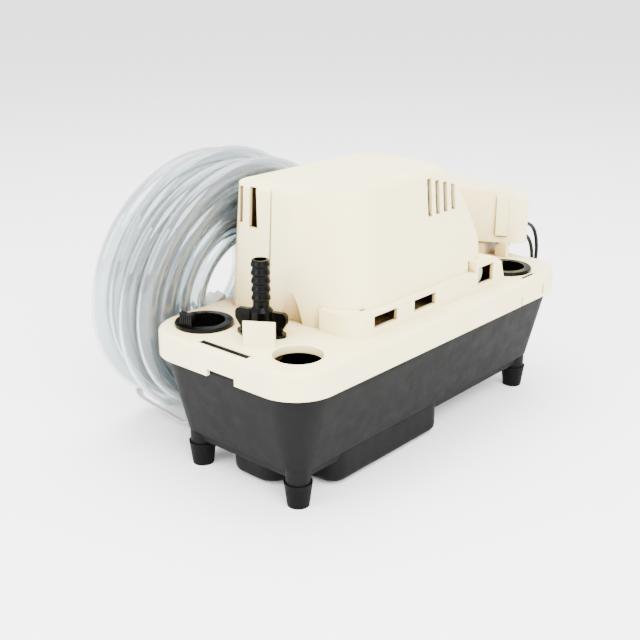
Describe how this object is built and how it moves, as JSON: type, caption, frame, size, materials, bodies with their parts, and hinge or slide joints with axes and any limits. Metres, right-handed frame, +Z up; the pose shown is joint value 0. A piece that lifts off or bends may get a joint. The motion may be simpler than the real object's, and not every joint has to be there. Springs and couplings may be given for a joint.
{
  "type": "condensate removal pump",
  "caption": "Tank-type condensate removal pump with a vented motor housing, float switch, barbed check valve and a standing coil of clear discharge hose.",
  "frame": {"origin": "on the floor under the middle of the tank cover, at the level of the rubber feet", "axes": "+X along the length from the discharge valve to the alarm leads, +Y across towards the hose coil, +Z up"},
  "size_m": [0.2993, 0.2032, 0.1808],
  "materials": {
    "cream_abs": "satin moulded",
    "grey_abs": "fine textured",
    "foot_rubber": "matte",
    "black_nylon": "semi gloss",
    "seal_rubber": "matte",
    "white_nylon": "satin",
    "pale_nylon": "satin",
    "red_plunger": "satin",
    "grey_polypropylene": "satin",
    "stainless_shaft": "ground",
    "plated_steel": "zinc plated",
    "sintered_bronze": "sintered",
    "lamination_steel": "punched",
    "taped_winding": "taped",
    "float_foam": "moulded",
    "gland_nylon": "satin",
    "clear_vinyl": "clear",
    "tie_nylon": "satin",
    "lead_insulation": "extruded"
  },
  "bodies": {
    "base": {"tank_cover": "cream_abs", "motor_housing": "cream_abs", "switch_housing": "cream_abs", "tank": "grey_abs", "foot_front_near": "foot_rubber", "foot_front_far": "foot_rubber", "foot_rear_near": "foot_rubber", "foot_rear_far": "foot_rubber", "run_switch": "black_nylon", "safety_switch": "black_nylon", "lead_grommet": "seal_rubber", "rod_guide": "white_nylon", "coil_bobbin": "white_nylon", "volute": "grey_polypropylene", "intake_cover": "grey_polypropylene", "pump_column": "grey_polypropylene", "discharge_tube": "grey_polypropylene", "motor_bolts": "plated_steel", "switch_screws": "plated_steel", "switch_plate": "plated_steel", "lower_bracket": "plated_steel", "upper_bracket": "plated_steel", "lower_bearing": "sintered_bronze", "upper_bearing": "sintered_bronze", "stator_core": "lamination_steel", "stator_winding": "taped_winding", "cord_gland": "gland_nylon", "hose_coil": "clear_vinyl", "hose_tie_front": "tie_nylon", "hose_tie_rear": "tie_nylon", "lead_high_tie": "tie_nylon", "lead_low_tie": "tie_nylon", "lead_high": "lead_insulation", "lead_low": "lead_insulation", "lead_high_coil": "lead_insulation", "lead_low_coil": "lead_insulation"},
    "rotor_set": {"motor_shaft": "stainless_shaft", "shaft_slinger": "foot_rubber", "rotor": "lamination_steel", "impeller": "white_nylon", "cooling_fan": "white_nylon"},
    "float_set": {"float": "float_foam", "float_rod": "stainless_shaft"},
    "lever": {"switch_lever": "pale_nylon"},
    "run_button": {"run_plunger": "red_plunger"},
    "safety_button": {"safety_plunger": "red_plunger"},
    "valve": {"check_valve": "black_nylon", "valve_seal": "seal_rubber"},
    "poppet": {"valve_poppet": "white_nylon"},
    "plug_front": {"drain_plug_front": "black_nylon"},
    "plug_rear": {"drain_plug_rear": "black_nylon"}
  },
  "joints": [
    {"name": "rotor_spin", "type": "hinge", "parent": "base", "child": "rotor_set", "pos_m": [-0.036, 0, 0.1], "axis": [0, 0, 1], "continuous": true},
    {"name": "float_lift", "type": "slide", "parent": "base", "child": "float_set", "axis": [0, 0, 1], "range_m": [0, 0.018]},
    {"name": "switch_lever_turn", "type": "hinge", "parent": "base", "child": "lever", "pos_m": [0.052, 0, 0.0994], "axis": [0, -1, 0], "range_deg": [0, 17.3]},
    {"name": "run_button_press", "type": "slide", "parent": "base", "child": "run_button", "axis": [0, 0, 1], "range_m": [0, 0.0009], "stiffness_N_per_m": 120, "springref_m": -0.001},
    {"name": "safety_button_press", "type": "slide", "parent": "base", "child": "safety_button", "axis": [0, 0, 1], "range_m": [0, 0.0009], "stiffness_N_per_m": 120, "springref_m": -0.001},
    {"name": "valve_turn", "type": "hinge", "parent": "base", "child": "valve", "pos_m": [-0.1023, 0, 0.09], "axis": [0, 0, 1], "range_deg": [0, 90]},
    {"name": "poppet_lift", "type": "slide", "parent": "valve", "child": "poppet", "axis": [0, 0, 1], "range_m": [0, 0.003]},
    {"name": "front_plug_pull", "type": "slide", "parent": "base", "child": "plug_front", "axis": [0, 0, 1], "range_m": [0, 0.012]},
    {"name": "rear_plug_pull", "type": "slide", "parent": "base", "child": "plug_rear", "axis": [0, 0, 1], "range_m": [0, 0.012]}
  ],
  "couplings": [
    {"joint": "switch_lever_turn", "follows": "float_lift", "rad_per_m": 16.667}
  ]
}
